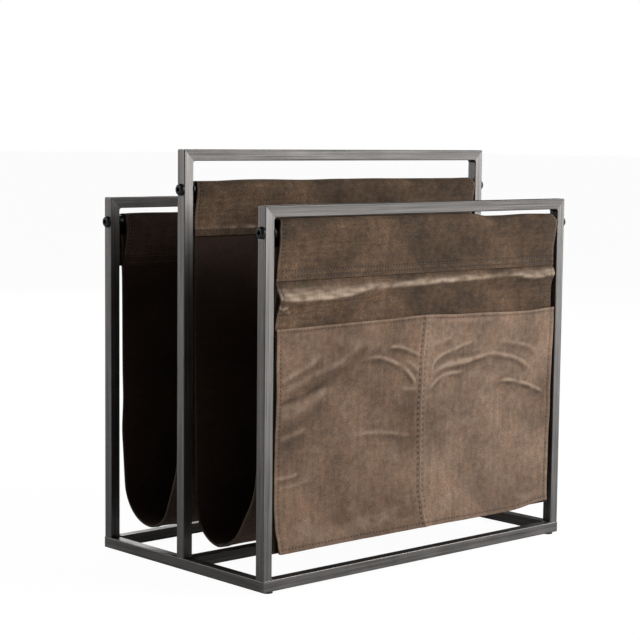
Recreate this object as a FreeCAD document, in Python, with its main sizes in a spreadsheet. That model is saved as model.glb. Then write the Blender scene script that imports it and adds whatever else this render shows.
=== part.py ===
import FreeCAD, Part
import math
import os
import re
import Sketcher

# Magazine rack: a welded frame of square tube whose three hoops carry hanger rods, two leather
# slings hung between the rods as open-ended pockets, and a leather apron hung from the front rod.
# The long side lies along X, the apron faces -Y and Z is up. The origin is on the floor under
# the middle of the rack. Lengths are millimetres and angles degrees.

doc = FreeCAD.newDocument("MagazineRack")
Y_AXIS = FreeCAD.Vector(0, 1, 0)
Z_AXIS = FreeCAD.Vector(0, 0, 1)
SIDES = {"left": "-", "right": ""}

# ---------------------------------------------------------------- driving dimensions

DIMENSIONS = {
    # welded frame
    "frame_width": 380.0,
    "frame_depth": 228.0,
    "tube": 10.0,
    "tube_wall": 1.2,
    "tube_edge_radius": 0.8,
    "corner_radius": 1.3,
    "weld_radius": 2.5,
    "hoop_inset": 0.5,
    "low_hoop_top": 327.5,
    "high_hoop_top": 372.5,
    # glides under the corners
    "glide_height": 1.5,
    "glide_diameter": 9.4,
    "glide_end_gap": 4.5,
    # hanger rods and the screws that hold them
    "rod_diameter": 12.0,
    "low_rod_drop": 22.5,
    "high_rod_drop": 35.0,
    "tapped_depth": 20.0,
    "screw_diameter": 6.0,
    "screw_hole_diameter": 6.4,
    "screw_length": 25.0,
    "head_diameter": 10.5,
    "head_height": 3.3,
    "head_round": 2.6,
    "socket_across": 4.0,
    "socket_depth": 2.1,
    # leather sleeves folded over the rods
    "leather_length": 350.0,
    "leather_clearance": 0.1,
    "sleeve_leather": 1.6,
    "sleeve_drop": 41.0,
    # slings: each is drawn as corners in the YZ plane, every corner rounded by its own bend
    "sling_leather": 2.0,
    "sling_top_drop": 12.0,
    "sling_mouth_drop": 47.0,
    "sling_mouth_bend": 150.0,
    "front_shoulder_y": -82.4,
    "front_shoulder_z": 70.8,
    "front_shoulder_bend": 50.0,
    "front_keel_y": -6.5,
    "front_keel_z": -15.0,
    "front_keel_bend": 27.0,
    "back_shoulder_y": 23.0,
    "back_shoulder_z": 84.0,
    "back_shoulder_bend": 80.0,
    "back_keel_z": 28.5,
    "back_keel_near_y": 44.0,
    "back_keel_near_bend": 26.0,
    "back_keel_far_y": 97.0,
    "back_keel_far_bend": 36.0,
    "back_rise_y": 103.5,
    "back_rise_z": 110.0,
    # apron
    "apron_leather": 1.8,
    "apron_gap": 0.3,
    "apron_bottom": 31.0,
    "apron_seam": 224.0,
    "apron_lap": 8.0,
    "bulge_y": -113.4,
    "bulge_z": 250.0,
    "bulge_bend": 9.0,
    "bulge_foot_z": 236.0,
    "bulge_foot_bend": 18.0,
}

# Sizes that follow from the driving ones.
FORMULAS = {
    "base_top": "=glide_height + tube",
    "hoop_width": "=frame_width - 2 * hoop_inset",
    "hoop_y": "=frame_depth / 2 - hoop_inset - tube / 2",
    "inner_face": "=hoop_width / 2 - tube",
    "low_rod_z": "=low_hoop_top - low_rod_drop",
    "high_rod_z": "=high_hoop_top - high_rod_drop",
    "glide_x": "=frame_width / 2 - glide_end_gap - glide_diameter / 2",
    "glide_y": "=frame_depth / 2 - tube / 2",
    "sleeve_bend": "=rod_diameter / 2 + leather_clearance + sleeve_leather / 2",
    "double_mouth": "=sling_leather + leather_clearance + sleeve_leather / 2",
    "single_mouth": "=(sling_leather + sleeve_leather) / 2 + leather_clearance",
    "sling_offset": "=(sling_leather + leather_clearance) / 2",
    "hinge_y": "=-(hoop_y + sling_leather + leather_clearance)",
    "hinge_z": "=low_rod_z - sleeve_drop - apron_gap",
    "band_y": "=hinge_y + apron_leather / 2",
    "band_top": "=hinge_z - apron_gap",
    "band_bottom": "=apron_seam - apron_lap",
    "panel_y": "=hinge_y - leather_clearance - apron_leather",
}

ALIASES = list(DIMENSIONS) + list(FORMULAS)
sheet = doc.addObject("Spreadsheet::Sheet", "Dimensions")
for row, alias in enumerate(ALIASES, start=1):
    content = DIMENSIONS.get(alias, FORMULAS.get(alias))
    sheet.set(f"A{row}", alias)
    sheet.setAlias(f"B{row}", alias)
    sheet.set(f"B{row}", str(content))
doc.recompute()


def size(alias):
    """The value of a sheet cell."""
    return float(sheet.get(alias))


def from_sheet(formula):
    """Turn a formula written with bare aliases into an expression on the sheet."""

    def qualify(word):
        name = word.group(0)
        return f"Dimensions.{name}" if name in ALIASES else name

    return re.sub(r"[a-z_]+", qualify, formula)


def bind(item, **formulas):
    for prop, formula in formulas.items():
        item.setExpression(prop, from_sheet(formula))


def place(item, x, y, z):
    for axis, formula in zip("xyz", (x, y, z)):
        item.setExpression(f"Placement.Base.{axis}", from_sheet(formula))


# ---------------------------------------------------------------- building blocks

nodes = {}


def node(label, item):
    """Register a finished sub-part under the name of its file."""
    item.Label = label
    nodes[label] = item
    return item


def box(name, corner, length, width, height):
    item = doc.addObject("Part::Box", name)
    bind(item, Length=length, Width=width, Height=height)
    place(item, *corner)
    return item


def bar_along_x(name, start, diameter, length):
    item = doc.addObject("Part::Cylinder", name)
    item.Placement.Rotation = FreeCAD.Rotation(Y_AXIS, 90)
    bind(item, Radius=f"{diameter} / 2", Height=length)
    place(item, *start)
    return item


def combine(kind, name, base, tool):
    """Cut, Fuse or Common of two objects."""
    item = doc.addObject(f"Part::{kind}", name)
    item.Base = base
    item.Tool = tool
    return item


def compound(name, items):
    item = doc.addObject("Part::Compound", name)
    item.Links = items
    return item


def fillet(name, base, alias, chosen):
    """Round the edges of base for which chosen(edge) is true."""
    doc.recompute()
    radius = size(alias)
    item = doc.addObject("Part::Fillet", name)
    item.Base = base
    item.Edges = [(n, radius, radius) for n, edge in enumerate(base.Shape.Edges, start=1) if chosen(edge)]
    return item


def runs_along(edge, axis):
    """Whether a straight edge is parallel to an axis."""
    return isinstance(edge.Curve, Part.Line) and edge.Curve.Direction.cross(axis).Length < 1e-6


def mitre_block(name, corner, axis, degrees):
    """A big block with one face on the mitre plane through a corner of the frame."""
    item = doc.addObject("Part::Box", name)
    item.Placement.Rotation = FreeCAD.Rotation(axis, degrees)
    bind(item, Length="2 * frame_width", Width="2 * frame_width", Height="2 * frame_width")
    place(item, *corner)
    return item


# ---------------------------------------------------------------- base frame


def base_ring():
    """The base rectangle of hollow tube, welded at the corners and ground flush."""
    outer = box(
        "BaseOuter", ("-frame_width / 2", "-frame_depth / 2", "glide_height"),
        "frame_width", "frame_depth", "tube",
    )
    window = box(
        "BaseWindow", ("tube - frame_width / 2", "tube - frame_depth / 2", "glide_height"),
        "frame_width - 2 * tube", "frame_depth - 2 * tube", "tube",
    )
    ring = combine("Cut", "BaseRing", outer, window)
    middle_of_tube = (size("frame_width") - size("tube")) / 2
    corners = fillet(
        "BaseCorners", ring, "corner_radius",
        lambda edge: runs_along(edge, Z_AXIS) and abs(edge.CenterOfMass.x) > middle_of_tube,
    )
    welds = fillet(
        "BaseWelds", corners, "weld_radius",
        lambda edge: runs_along(edge, Z_AXIS) and abs(edge.CenterOfMass.x) < middle_of_tube,
    )
    rounded = fillet("BaseEdges", welds, "tube_edge_radius", lambda edge: not runs_along(edge, Z_AXIS))
    hollow_outer = box(
        "BaseHollowOuter",
        ("tube_wall - frame_width / 2", "tube_wall - frame_depth / 2", "glide_height + tube_wall"),
        "frame_width - 2 * tube_wall", "frame_depth - 2 * tube_wall", "tube - 2 * tube_wall",
    )
    hollow_window = box(
        "BaseHollowWindow",
        ("tube - tube_wall - frame_width / 2", "tube - tube_wall - frame_depth / 2", "glide_height"),
        "frame_width - 2 * (tube - tube_wall)", "frame_depth - 2 * (tube - tube_wall)", "tube",
    )
    hollow = combine("Cut", "BaseHollow", hollow_outer, hollow_window)
    return combine("Cut", "BaseTubes", rounded, hollow)


def base_rails():
    """Split the base into its four tubes along upright 45 degree planes."""
    ring = base_ring()
    block = {}
    for end, y in (("front", "-frame_depth / 2"), ("back", "frame_depth / 2")):
        for side, turn in (("left", -45), ("right", 135)):
            corner = (f"{SIDES[side]}frame_width / 2", y, "-frame_width")
            block[end, side] = mitre_block(f"Mitre_{end}_{side}", corner, Z_AXIS, turn)
    for end in ("front", "back"):
        near_left = combine("Common", f"RailPart_{end}", ring, block[end, "left"])
        node(f"base_{end}_rail", combine("Common", f"Rail_{end}", near_left, block[end, "right"]))
    for side in SIDES:
        behind = combine("Cut", f"RailPart_{side}", ring, block["front", side])
        node(f"base_{side}_rail", combine("Cut", f"Rail_{side}", behind, block["back", side]))


def centre_rail():
    """A lengthwise tube butted between the two end rails."""
    outer = box(
        "CentreOuter", ("tube - frame_width / 2", "-tube / 2", "glide_height"),
        "frame_width - 2 * tube", "tube", "tube",
    )
    rounded = fillet(
        "CentreEdges", outer, "tube_edge_radius",
        lambda edge: not runs_along(edge, Y_AXIS) and not runs_along(edge, Z_AXIS),
    )
    hollow = box(
        "CentreHollow",
        ("tube - frame_width / 2", "tube_wall - tube / 2", "glide_height + tube_wall"),
        "frame_width - 2 * tube", "tube - 2 * tube_wall", "tube - 2 * tube_wall",
    )
    node("base_centre_rail", combine("Cut", "CentreRail", rounded, hollow))


def glides():
    """Round feet pressed into the tube under the four corners."""
    discs = []
    for end, y in (("front", "-glide_y"), ("back", "glide_y")):
        for side, sign in SIDES.items():
            disc = doc.addObject("Part::Cylinder", f"Glide_{end}_{side}")
            bind(disc, Radius="glide_diameter / 2", Height="glide_height")
            place(disc, f"{sign}glide_x", y, "0")
            discs.append(disc)
    node("glides", compound("Glides", discs))


# ---------------------------------------------------------------- hoops


def hoop(name, y, top, rod_z):
    """Two uprights and a top bar, mitred and welded, standing on the base."""
    outer = box(
        f"{name}_outer", ("-hoop_width / 2", f"{y} - tube / 2", "base_top"),
        "hoop_width", "tube", f"{top} - base_top",
    )
    window = box(
        f"{name}_window", ("-inner_face", f"{y} - tube / 2", "base_top"),
        "2 * inner_face", "tube", f"{top} - tube - base_top",
    )
    arch = combine("Cut", f"{name}_arch", outer, window)
    middle_of_bar = size(top) - size("tube") / 2
    corners = fillet(
        f"{name}_corners", arch, "corner_radius",
        lambda edge: runs_along(edge, Y_AXIS) and edge.CenterOfMass.z > middle_of_bar,
    )
    low = size("base_top") + size("tube")
    welds = fillet(
        f"{name}_welds", corners, "weld_radius",
        lambda edge: runs_along(edge, Y_AXIS) and low < edge.CenterOfMass.z < middle_of_bar,
    )
    rounded = fillet(
        f"{name}_edges", welds, "tube_edge_radius",
        lambda edge: not runs_along(edge, Y_AXIS) and edge.CenterOfMass.z > low,
    )
    hollow_outer = box(
        f"{name}_hollow_outer", ("tube_wall - hoop_width / 2", f"{y} - tube / 2 + tube_wall", "base_top"),
        "hoop_width - 2 * tube_wall", "tube - 2 * tube_wall", f"{top} - tube_wall - base_top",
    )
    hollow_window = box(
        f"{name}_hollow_window", ("-(inner_face + tube_wall)", f"{y} - tube", "0"),
        "2 * (inner_face + tube_wall)", "2 * tube", f"{top} - tube + tube_wall",
    )
    hollow = combine("Cut", f"{name}_hollow", hollow_outer, hollow_window)
    tubes = combine("Cut", f"{name}_tubes", rounded, hollow)
    drill = bar_along_x(
        f"{name}_drill", ("-hoop_width / 2", y, rod_z), "screw_hole_diameter", "hoop_width",
    )
    drilled = combine("Cut", f"{name}_drilled", tubes, drill)
    above = {}
    for side, turn in (("left", 45), ("right", -135)):
        corner = (f"{SIDES[side]}hoop_width / 2", f"{y} - frame_width", top)
        above[side] = mitre_block(f"{name}_mitre_{side}", corner, Y_AXIS, turn)
        upright = combine("Cut", f"{name}_{side}", drilled, above[side])
        node(f"{name}_{side}_upright", upright)
    half = combine("Common", f"{name}_bar_part", drilled, above["left"])
    node(f"{name}_top_bar", combine("Common", f"{name}_bar", half, above["right"]))


def foot_welds():
    """Concave beads between the inner side of each upright and the rail below it."""
    beads = []
    for name, y in HOOPS_Y.items():
        for side, corner_x, centre_x in (
            ("left", "-inner_face", "weld_radius - inner_face"),
            ("right", "inner_face - weld_radius", "inner_face - weld_radius"),
        ):
            width = "tube - 2 * tube_edge_radius"
            start_y = f"{y} - tube / 2 + tube_edge_radius"
            block = box(f"Bead_{name}_{side}", (corner_x, start_y, "base_top"), "weld_radius", width, "weld_radius")
            hollow = doc.addObject("Part::Cylinder", f"BeadRound_{name}_{side}")
            hollow.Placement.Rotation = FreeCAD.Rotation(FreeCAD.Vector(1, 0, 0), -90)
            bind(hollow, Radius="weld_radius", Height=width)
            place(hollow, centre_x, start_y, "base_top + weld_radius")
            beads.append(combine("Cut", f"BeadCut_{name}_{side}", block, hollow))
    node("foot_welds", compound("FootWelds", beads))


# ---------------------------------------------------------------- hanger rods and screws


def hanger_rod(name, y, z):
    """A round bar between two uprights, tapped at both ends."""
    bar = bar_along_x(f"{name}_rod_bar", ("-inner_face", y, z), "rod_diameter", "2 * inner_face")
    for side, start in (("left", "-inner_face"), ("right", "inner_face - tapped_depth")):
        hole = bar_along_x(f"{name}_tap_{side}", (start, y, z), "screw_diameter", "tapped_depth")
        bar = combine("Cut", f"{name}_rod_{side}", bar, hole)
    node(f"{name}_hanger_rod", bar)


def screw(name, side, y, z):
    """A button head socket screw lying along X with its head outside the hoop."""
    left = side == "left"
    head_x = "-(hoop_width / 2 + head_height)" if left else "hoop_width / 2"
    head_outside = (lambda x: x < 0) if left else (lambda x: x > 0)
    head = bar_along_x(f"{name}_head_{side}", (head_x, y, z), "head_diameter", "head_height")
    outer_face = size("hoop_width") / 2 + size("head_height")
    domed = fillet(
        f"{name}_dome_{side}", head, "head_round",
        lambda edge: head_outside(edge.CenterOfMass.x) and abs(abs(edge.CenterOfMass.x) - outer_face) < 1e-3,
    )
    shank_x = "-(hoop_width / 2)" if left else "hoop_width / 2 - screw_length"
    shank = bar_along_x(f"{name}_shank_{side}", (shank_x, y, z), "screw_diameter", "screw_length")
    body = combine("Fuse", f"{name}_body_{side}", domed, shank)
    socket = doc.addObject("Part::Prism", f"{name}_socket_{side}")
    socket.Polygon = 6
    socket.Placement.Rotation = FreeCAD.Rotation(Y_AXIS, 90)
    bind(socket, Circumradius="socket_across / 2 / cos(30)", Height="socket_depth")
    socket_x = head_x if left else "hoop_width / 2 + head_height - socket_depth"
    place(socket, socket_x, y, z)
    return combine("Cut", f"{name}_screw_{side}", body, socket)


# ---------------------------------------------------------------- leather


def yz_sketch(name):
    """An empty sketch in the YZ plane, its own x along +Y and its y along +Z."""
    sketch = doc.addObject("Sketcher::SketchObject", name)
    sketch.Placement.Rotation = FreeCAD.Rotation(FreeCAD.Vector(1, 1, 1), 120)
    return sketch


def pin_point(sketch, geometry, position, y, z):
    """Hold a point of a YZ sketch at the place given by two formulas."""
    for kind, formula in (("DistanceX", y), ("DistanceY", z)):
        point = sketch.getPoint(geometry, position)
        value = point.x if kind == "DistanceX" else point.y
        number = sketch.addConstraint(Sketcher.Constraint(kind, -1, 1, geometry, position, value))
        sketch.setExpression(f"Constraints[{number}]", from_sheet(formula))


def value_of(formula):
    """Evaluate a formula of sheet aliases, for a sketch's first guess."""
    return float(sheet.evalExpression(formula))


def leather_sheet(name, sketch, thickness):
    """Thicken a sketched line to both sides and run it along the rack's length."""
    section = doc.addObject("Part::Offset2D", f"{name}_section")
    section.Source = sketch
    section.Mode = "Pipe"
    section.Join = "Intersection"
    section.Fill = True
    bind(section, Value=f"{thickness} / 2")
    solid = doc.addObject("Part::Extrusion", f"{name}_sheet")
    solid.Base = section
    solid.DirMode = "Custom"
    solid.Dir = FreeCAD.Vector(1, 0, 0)
    solid.Symmetric = True
    solid.Solid = True
    bind(solid, LengthFwd="leather_length")
    return solid


def rounded_line(name, corners):
    """A YZ sketch of straight runs through corners (y, z, bend), each inner corner rounded."""
    sketch = yz_sketch(name)
    points = [FreeCAD.Vector(value_of(corner[0]), value_of(corner[1]), 0) for corner in corners]
    runs = []
    arcs = []
    start = points[0]
    for before, here, after, corner in zip(points, points[1:], points[2:], corners[1:]):
        back = (before - here).normalize()
        ahead = (after - here).normalize()
        half = back.getAngle(ahead) / 2
        bend = value_of(corner[2])
        first = here + back * (bend / math.tan(half))
        last = here + ahead * (bend / math.tan(half))
        middle = here + (back + ahead).normalize() * (bend / math.sin(half) - bend)
        runs.append(sketch.addGeometry(Part.LineSegment(start, first)))
        arc = sketch.addGeometry(Part.Arc(first, middle, last))
        arcs.append((arc, 1 if (sketch.getPoint(arc, 1) - first).Length < 1e-6 else 2, corner))
        start = last
    runs.append(sketch.addGeometry(Part.LineSegment(start, points[-1])))
    for run, following, (arc, first, corner) in zip(runs, runs[1:], arcs):
        sketch.addConstraint(Sketcher.Constraint("Tangent", run, 2, arc, first))
        sketch.addConstraint(Sketcher.Constraint("Tangent", arc, 3 - first, following, 1))
        number = sketch.addConstraint(Sketcher.Constraint("Radius", arc, value_of(corner[2])))
        sketch.setExpression(f"Constraints[{number}]", from_sheet(corner[2]))
        here = FreeCAD.Vector(value_of(corner[0]), value_of(corner[1]), 0)
        mark = sketch.addGeometry(Part.Point(here), True)
        pin_point(sketch, mark, 1, corner[0], corner[1])
        sketch.addConstraint(Sketcher.Constraint("PointOnObject", mark, 1, run))
        sketch.addConstraint(Sketcher.Constraint("PointOnObject", mark, 1, following))
    pin_point(sketch, runs[0], 1, corners[0][0], corners[0][1])
    pin_point(sketch, runs[-1], 2, corners[-1][0], corners[-1][1])
    return sketch


def sleeve(name, y, rod_z, mouth):
    """A strip folded over a rod; its two walls close to `mouth` either side of the middle."""
    sketch = yz_sketch(f"{name}_sleeve_line")
    centre_y = value_of(y)
    centre_z = value_of(rod_z)
    bend = size("sleeve_bend")
    mouth_y = size(mouth)
    reach = math.hypot(mouth_y, size("sleeve_drop"))
    lean = math.atan2(mouth_y, size("sleeve_drop")) - math.acos(bend / reach) + math.pi / 2
    touch = FreeCAD.Vector(bend * math.cos(lean), bend * math.sin(lean) * -1, 0)
    centre = FreeCAD.Vector(centre_y, centre_z, 0)
    foot = FreeCAD.Vector(mouth_y, -size("sleeve_drop"), 0)
    mirror = FreeCAD.Vector(-1, 1, 1)

    def mirrored(vector):
        return FreeCAD.Vector(vector.x * mirror.x, vector.y, 0)

    top = centre + FreeCAD.Vector(0, bend, 0)
    arc = sketch.addGeometry(Part.Arc(centre + mirrored(touch), top, centre + touch))
    near = sketch.addGeometry(Part.LineSegment(centre + mirrored(foot), centre + mirrored(touch)))
    far = sketch.addGeometry(Part.LineSegment(centre + touch, centre + foot))
    at_near = 1 if sketch.getPoint(arc, 1).x < centre_y else 2
    sketch.addConstraint(Sketcher.Constraint("Tangent", near, 2, arc, at_near))
    sketch.addConstraint(Sketcher.Constraint("Tangent", arc, 3 - at_near, far, 1))
    number = sketch.addConstraint(Sketcher.Constraint("Radius", arc, bend))
    sketch.setExpression(f"Constraints[{number}]", from_sheet("sleeve_bend"))
    pin_point(sketch, arc, 3, y, rod_z)
    foot_z = f"{rod_z} - sleeve_drop + sleeve_leather / 2"
    pin_point(sketch, near, 1, f"{y} - {mouth}", foot_z)
    pin_point(sketch, far, 2, f"{y} + {mouth}", foot_z)
    node(f"{name}_sleeve", leather_sheet(f"{name}_sleeve", sketch, "sleeve_leather"))


def slings():
    """Two lengths of leather hung between neighbouring rods, each end inside a sleeve."""
    mouth_low = "low_rod_z - sling_mouth_drop"
    mouth_high = "high_rod_z - sling_mouth_drop"
    top_low = "low_rod_z - sling_top_drop"
    top_high = "high_rod_z - sling_top_drop"
    front_wall = "sling_offset - hoop_y"
    front = [
        (front_wall, top_low),
        (front_wall, mouth_low, "sling_mouth_bend"),
        ("front_shoulder_y", "front_shoulder_z", "front_shoulder_bend"),
        ("front_keel_y", "front_keel_z", "front_keel_bend"),
        ("-sling_offset", mouth_high, "sling_mouth_bend"),
        ("-sling_offset", top_high),
    ]
    back = [
        ("sling_offset", top_high),
        ("sling_offset", mouth_high, "sling_mouth_bend"),
        ("back_shoulder_y", "back_shoulder_z", "back_shoulder_bend"),
        ("back_keel_near_y", "back_keel_z", "back_keel_near_bend"),
        ("back_keel_far_y", "back_keel_z", "back_keel_far_bend"),
        ("back_rise_y", "back_rise_z", "sling_mouth_bend"),
        ("hoop_y", mouth_low, "sling_mouth_bend"),
        ("hoop_y", top_low),
    ]
    for name, corners in (("front_sling", front), ("back_sling", back)):
        node(name, leather_sheet(name, rounded_line(f"{name}_line", corners), "sling_leather"))


def apron():
    """A flap below the front sleeve: a bulging band, two panels lapped over it and their lining."""
    half_leather = "apron_leather / 2"
    band = [
        ("band_y", f"band_top - {half_leather}"),
        ("bulge_y", "bulge_z", "bulge_bend"),
        ("band_y", "bulge_foot_z", "bulge_foot_bend"),
        ("band_y", f"band_bottom + {half_leather}"),
    ]
    line = rounded_line("apron_band_line", band)
    node("apron_band", leather_sheet("apron_band", line, "apron_leather"))
    for side, start in (("left", "-leather_length / 2"), ("right", "leather_clearance")):
        panel = box(
            f"ApronPanel_{side}", (start, "panel_y", "apron_bottom"),
            "leather_length / 2 - leather_clearance", "apron_leather", "apron_seam - apron_bottom",
        )
        node(f"apron_{side}_panel", panel)
    lining = box(
        "ApronLining", ("-leather_length / 2", "hinge_y", "apron_bottom"),
        "leather_length", "apron_leather", "band_bottom - leather_clearance - apron_bottom",
    )
    node("apron_lining", lining)


# ---------------------------------------------------------------- assembly

HOOPS_Y = {"front": "-hoop_y", "middle": "0", "back": "hoop_y"}
RODS_Z = {"front": "low_rod_z", "middle": "high_rod_z", "back": "low_rod_z"}
TOPS_Z = {"front": "low_hoop_top", "middle": "high_hoop_top", "back": "low_hoop_top"}
MOUTHS = {"front": "double_mouth", "middle": "double_mouth", "back": "single_mouth"}

base_rails()
centre_rail()
glides()
foot_welds()
for name, y in HOOPS_Y.items():
    rod_z = RODS_Z[name]
    hoop(name, y, TOPS_Z[name], rod_z)
    hanger_rod(name, y, rod_z)
    pair = [screw(name, side, y, rod_z) for side in SIDES]
    node(f"{name}_rod_screws", compound(f"{name}_screws", pair))
    sleeve(name, y, rod_z, MOUTHS[name])
slings()
apron()
doc.recompute()

# ---------------------------------------------------------------- checks and export

for item in doc.Objects:
    if "Invalid" in item.State or "Error" in item.State:
        raise RuntimeError(f"{item.Name} failed: {item.State}")
for label, item in nodes.items():
    if item.Shape.isNull() or not item.Shape.isValid() or item.Shape.Volume <= 0:
        raise RuntimeError(f"{label} has no sound solid")

os.makedirs("parts", exist_ok=True)
for label, item in nodes.items():
    item.Shape.exportStep(f"parts/{label}.step")
    print(f"{label}: {item.Shape.Volume / 1000:.2f} cm3, {len(item.Shape.Solids)} solid(s)")
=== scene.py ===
import bisect
import bmesh
import bpy
import math
from mathutils import Euler, Matrix, Vector, noise
from mathutils.geometry import interpolate_bezier, intersect_point_line


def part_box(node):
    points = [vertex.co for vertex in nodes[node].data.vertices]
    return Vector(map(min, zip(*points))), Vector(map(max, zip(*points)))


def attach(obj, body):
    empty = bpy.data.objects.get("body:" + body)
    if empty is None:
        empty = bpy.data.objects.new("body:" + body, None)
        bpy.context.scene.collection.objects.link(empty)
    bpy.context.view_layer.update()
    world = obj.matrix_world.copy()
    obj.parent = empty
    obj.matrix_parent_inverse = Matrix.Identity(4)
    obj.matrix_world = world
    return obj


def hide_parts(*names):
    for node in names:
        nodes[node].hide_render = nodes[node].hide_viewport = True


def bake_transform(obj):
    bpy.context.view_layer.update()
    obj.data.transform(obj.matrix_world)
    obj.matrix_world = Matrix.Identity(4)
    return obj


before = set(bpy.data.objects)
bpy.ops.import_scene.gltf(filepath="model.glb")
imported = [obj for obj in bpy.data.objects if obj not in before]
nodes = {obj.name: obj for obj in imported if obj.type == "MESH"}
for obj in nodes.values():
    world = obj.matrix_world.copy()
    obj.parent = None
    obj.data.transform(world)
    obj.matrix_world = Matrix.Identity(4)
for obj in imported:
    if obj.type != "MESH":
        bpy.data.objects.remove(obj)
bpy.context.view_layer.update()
mm = 0.001


# ---- Studio
# White paper under the rack, one broad soft light to the front right, two weaker ones behind it
# and a pale room round it. The camera looks from the front left through a long lens.

def new_material(name):
    """A material, its node tree and its main shader."""
    material = bpy.data.materials.new(name)
    material.use_nodes = True
    tree = material.node_tree
    return material, tree, tree.nodes["Principled BSDF"]


def mesh_from(bm, name):
    """Turns an edit mesh into a mesh, and frees it."""
    mesh = bpy.data.meshes.new(name)
    bm.to_mesh(mesh)
    bm.free()
    return mesh


def put(name, data):
    """Puts an object with this data into the scene."""
    thing = bpy.data.objects.new(name, data)
    bpy.context.scene.collection.objects.link(thing)
    return thing


paper_dark, paper_light = (0.84, 0.84, 0.84, 1), (0.88, 0.88, 0.88, 1)
glow_strength, glow_share = 1.05, 0.92
floor_reach = 30.0


def white_paper():
    """Matt white paper with a faint tooth. To the camera, most of its white is a glow of its own."""
    material, tree, shader = new_material("white_paper")
    shader.inputs["Roughness"].default_value = 0.95
    shader.inputs["Specular IOR Level"].default_value = 0.1
    place = tree.nodes.new("ShaderNodeTexCoord")
    tooth = tree.nodes.new("ShaderNodeTexNoise")
    tooth.inputs["Scale"].default_value = 30
    shade = tree.nodes.new("ShaderNodeMix")
    shade.data_type = "RGBA"
    shade.inputs[6].default_value = paper_dark
    shade.inputs[7].default_value = paper_light
    tree.links.new(place.outputs["Object"], tooth.inputs["Vector"])
    tree.links.new(tooth.outputs[0], shade.inputs[0])
    tree.links.new(shade.outputs[2], shader.inputs["Base Color"])
    glow = tree.nodes.new("ShaderNodeEmission")
    glow.inputs["Color"].default_value = (1, 1, 1, 1)
    glow.inputs["Strength"].default_value = glow_strength
    seen = tree.nodes.new("ShaderNodeLightPath")
    share = tree.nodes.new("ShaderNodeMath")
    share.operation = "MULTIPLY"
    share.inputs[1].default_value = glow_share
    tree.links.new(seen.outputs["Is Camera Ray"], share.inputs[0])
    both = tree.nodes.new("ShaderNodeMixShader")
    tree.links.new(share.outputs[0], both.inputs[0])
    tree.links.new(shader.outputs[0], both.inputs[1])
    tree.links.new(glow.outputs[0], both.inputs[2])
    tree.links.new(both.outputs[0], tree.nodes["Material Output"].inputs["Surface"])
    return material


floor_bm = bmesh.new()
bmesh.ops.create_grid(floor_bm, x_segments=1, y_segments=1, size=floor_reach)
floor = put("studio_floor", mesh_from(floor_bm, "studio_floor"))
floor.data.materials.append(white_paper())


def softbox(name, place, aim, width, height, power):
    """A rectangular area light at place, turned to face aim."""
    light = bpy.data.lights.new(name, "AREA")
    light.shape = "RECTANGLE"
    light.size = width
    light.size_y = height
    light.energy = power
    lamp = put(name, light)
    lamp.location = place
    lamp.visible_camera = False
    lamp.rotation_euler = (Vector(aim) - Vector(place)).to_track_quat("-Z", "Y").to_euler()


rack_middle = (0, 0, 0.18)
softbox("front_right", (1.25, -1.5, 0.88), rack_middle, 1.2, 1.2, 43.5)
softbox("back_left", (-1.9, 1.7, 1.05), rack_middle, 1.8, 1.5, 25)
softbox("back_fill", (0.9, 2.2, 1.2), rack_middle, 1.5, 1.5, 20)

room_light, room_seen = 0.065, 1.0
world = bpy.data.worlds.new("studio")
bpy.context.scene.world = world
world.use_nodes = True
sky = world.node_tree
background = sky.nodes["Background"]
path = sky.nodes.new("ShaderNodeLightPath")
strength = sky.nodes.new("ShaderNodeMix")
strength.data_type = "FLOAT"
strength.inputs[2].default_value = room_light
strength.inputs[3].default_value = room_seen
sky.links.new(path.outputs["Is Camera Ray"], strength.inputs[0])
sky.links.new(strength.outputs[0], background.inputs["Strength"])
background.inputs["Color"].default_value = (1, 1, 1, 1)

looks_down, heading, lean = 5.815, -42.324, 0.606
camera_data = bpy.data.cameras.new("camera")
camera_data.lens = 102.1
camera_data.sensor_width = 36.0
camera_data.clip_end = 50
camera = put("camera", camera_data)
camera.location = (-1.1635, -1.2508, 0.3859)
turn = Euler((math.radians(90 - looks_down), 0, math.radians(heading)), "XYZ").to_matrix()
camera.rotation_euler = (turn @ Matrix.Rotation(math.radians(lean), 3, "Z")).to_euler()
bpy.context.scene.camera = camera
bpy.context.scene.view_settings.view_transform = "Standard"


# ---- Steel frame
# Three hoops on a base, all of one square mild-steel tube. Each length is linished along itself,
# then mitred, welded, dressed and darkened to gunmetal, so its fine lines follow the tube.

def tree_group(name, inputs, outputs):
    """An empty shader node group with the named sockets, and its input and output nodes."""
    group = bpy.data.node_groups.new(name, "ShaderNodeTree")
    for socket, kind in inputs.items():
        group.interface.new_socket(name=socket, in_out="INPUT", socket_type="NodeSocket" + kind)
    for socket, kind in outputs.items():
        group.interface.new_socket(name=socket, in_out="OUTPUT", socket_type="NodeSocket" + kind)
    return group, group.nodes.new("NodeGroupInput"), group.nodes.new("NodeGroupOutput")


def noise_node(tree, vector, scale, detail=2.0, roughness=0.5):
    """A noise texture on the vector; returns its grey output."""
    node = tree.nodes.new("ShaderNodeTexNoise")
    node.inputs["Scale"].default_value = scale
    node.inputs["Detail"].default_value = detail
    node.inputs["Roughness"].default_value = roughness
    tree.links.new(vector, node.inputs["Vector"])
    return node.outputs[0]


def remap_node(tree, value, low, high, new_low, new_high):
    """Stretches low..high of a grey value to new_low..new_high, clamped."""
    node = tree.nodes.new("ShaderNodeMapRange")
    for socket, number in zip(("From Min", "From Max", "To Min", "To Max"), (low, high, new_low, new_high)):
        node.inputs[socket].default_value = number
    tree.links.new(value, node.inputs["Value"])
    return node.outputs["Result"]


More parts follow.
